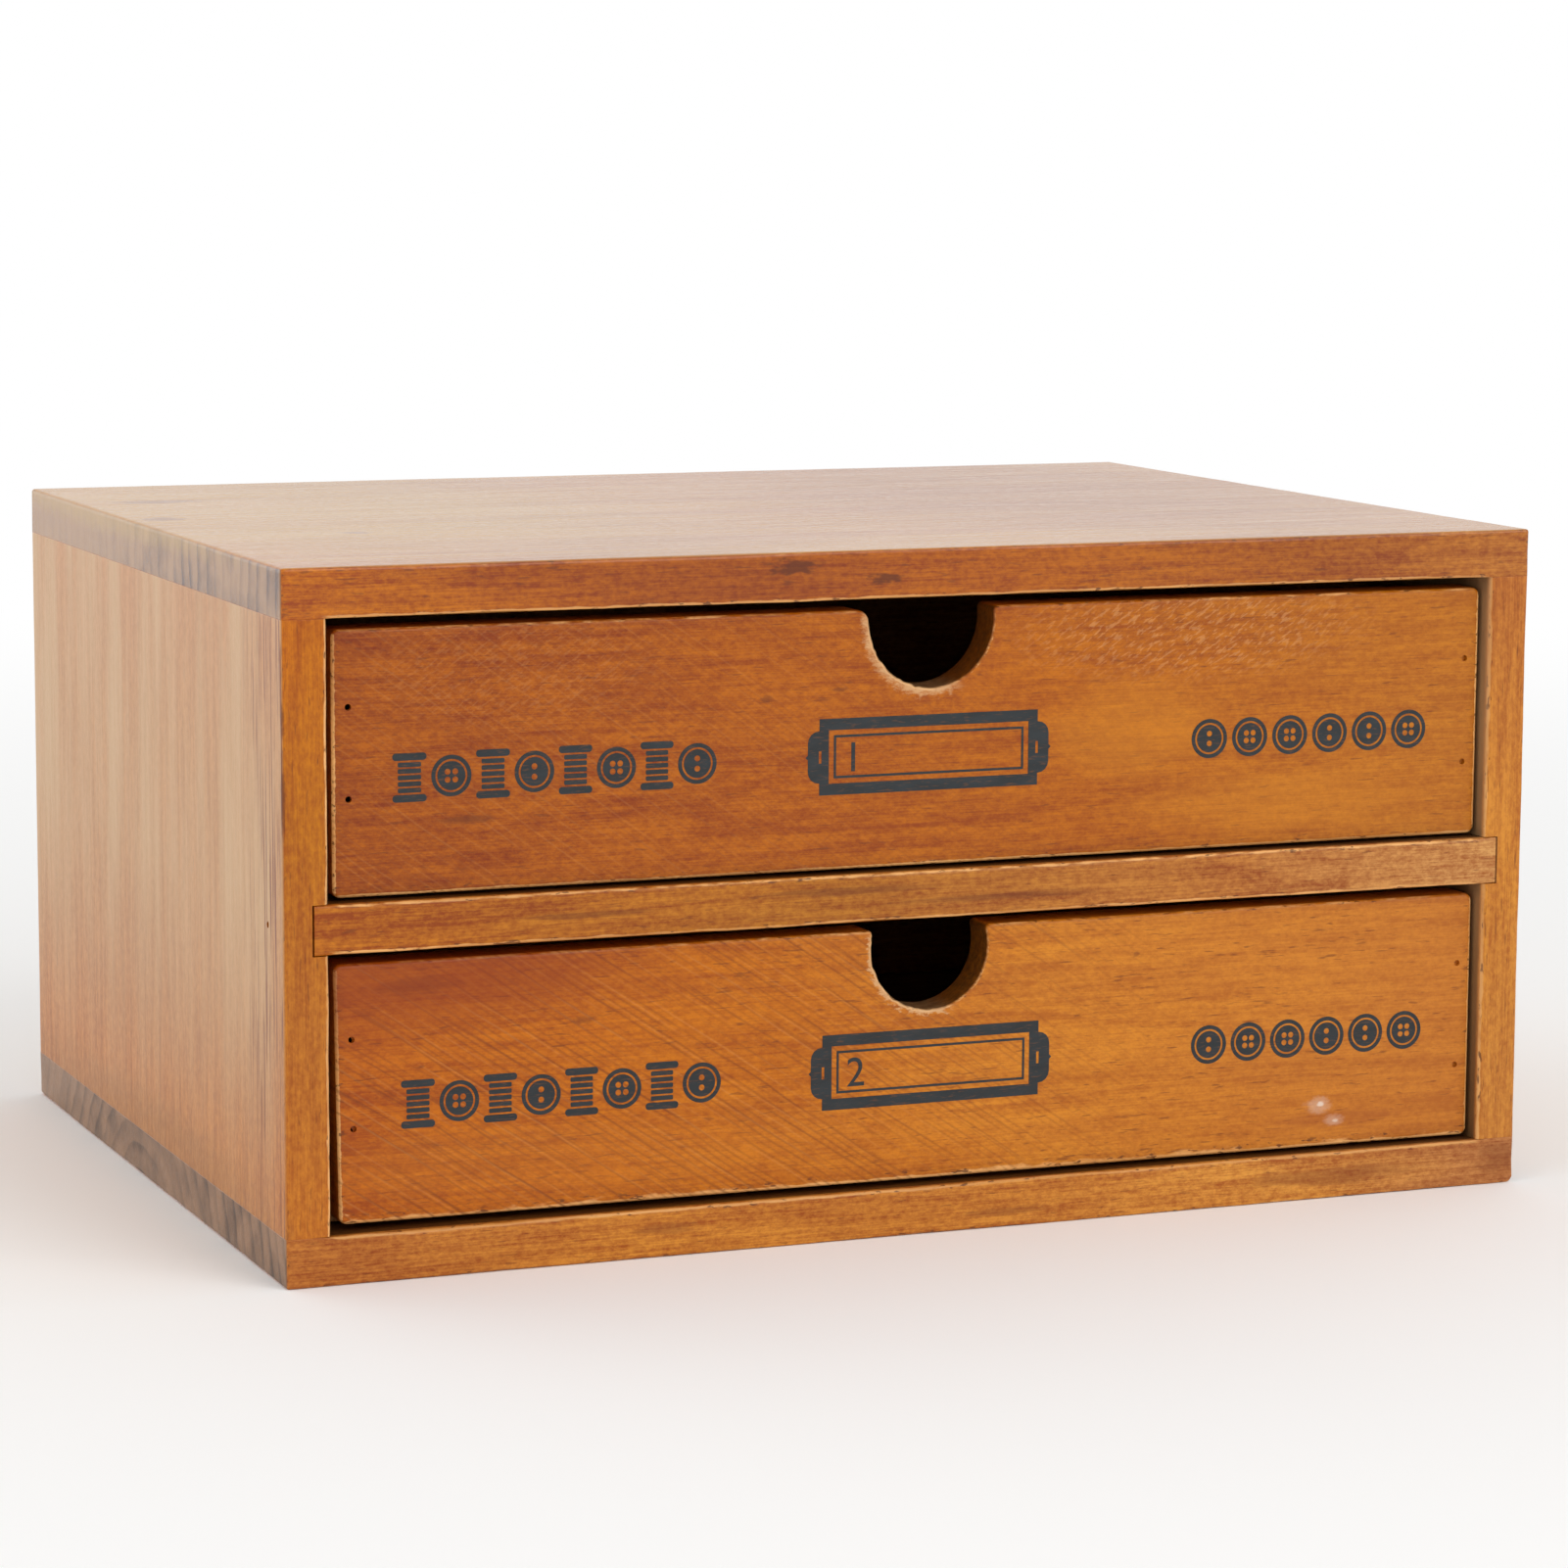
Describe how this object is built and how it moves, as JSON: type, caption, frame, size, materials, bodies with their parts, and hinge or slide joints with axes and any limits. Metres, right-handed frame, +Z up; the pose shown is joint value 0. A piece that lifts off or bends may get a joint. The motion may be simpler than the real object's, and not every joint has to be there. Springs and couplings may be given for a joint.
{
  "type": "button storage drawers",
  "caption": "Low tabletop wooden chest of stacked sliding drawers with half-round finger notches, for buttons, thread and other small craft parts.",
  "frame": {"origin": "middle of the underside of the bottom board", "axes": "+Z up, drawers open towards -Y, +X to the right when looking at the drawer fronts"},
  "size_m": [0.33, 0.245, 0.17],
  "materials": {
    "cabinet_pine": "honey-brown stained pine with a satin varnish",
    "drawer_front_pine": "honey-brown stained pine with worn paler edges",
    "drawer_wall_pine": "lightly stained pine",
    "plywood": "bare three-layer plywood",
    "beech_dowel": "bare beech",
    "steel_nail": "dull dark steel"
  },
  "bodies": {
    "cabinet": {"top_board": "cabinet_pine", "bottom_board": "cabinet_pine", "left_side_board": "cabinet_pine", "right_side_board": "cabinet_pine", "middle_shelf": "cabinet_pine", "back_panel": "plywood", "corner_dowels": "beech_dowel", "shelf_nails": "steel_nail", "back_panel_pins": "steel_nail"},
    "upper_drawer": {"upper_drawer_front": "drawer_front_pine", "upper_drawer_left_side": "drawer_wall_pine", "upper_drawer_right_side": "drawer_wall_pine", "upper_drawer_back": "drawer_wall_pine", "upper_drawer_floor": "plywood", "upper_drawer_front_nails": "steel_nail", "upper_drawer_back_nails": "steel_nail", "upper_drawer_floor_pins": "steel_nail"},
    "lower_drawer": {"lower_drawer_front": "drawer_front_pine", "lower_drawer_left_side": "drawer_wall_pine", "lower_drawer_right_side": "drawer_wall_pine", "lower_drawer_back": "drawer_wall_pine", "lower_drawer_floor": "plywood", "lower_drawer_front_nails": "steel_nail", "lower_drawer_back_nails": "steel_nail", "lower_drawer_floor_pins": "steel_nail"}
  },
  "joints": [
    {"name": "upper_drawer_slide", "type": "slide", "parent": "cabinet", "child": "upper_drawer", "axis": [0, -1, 0], "range_m": [0, 0.16]},
    {"name": "lower_drawer_slide", "type": "slide", "parent": "cabinet", "child": "lower_drawer", "axis": [0, -1, 0], "range_m": [0, 0.16]}
  ]
}
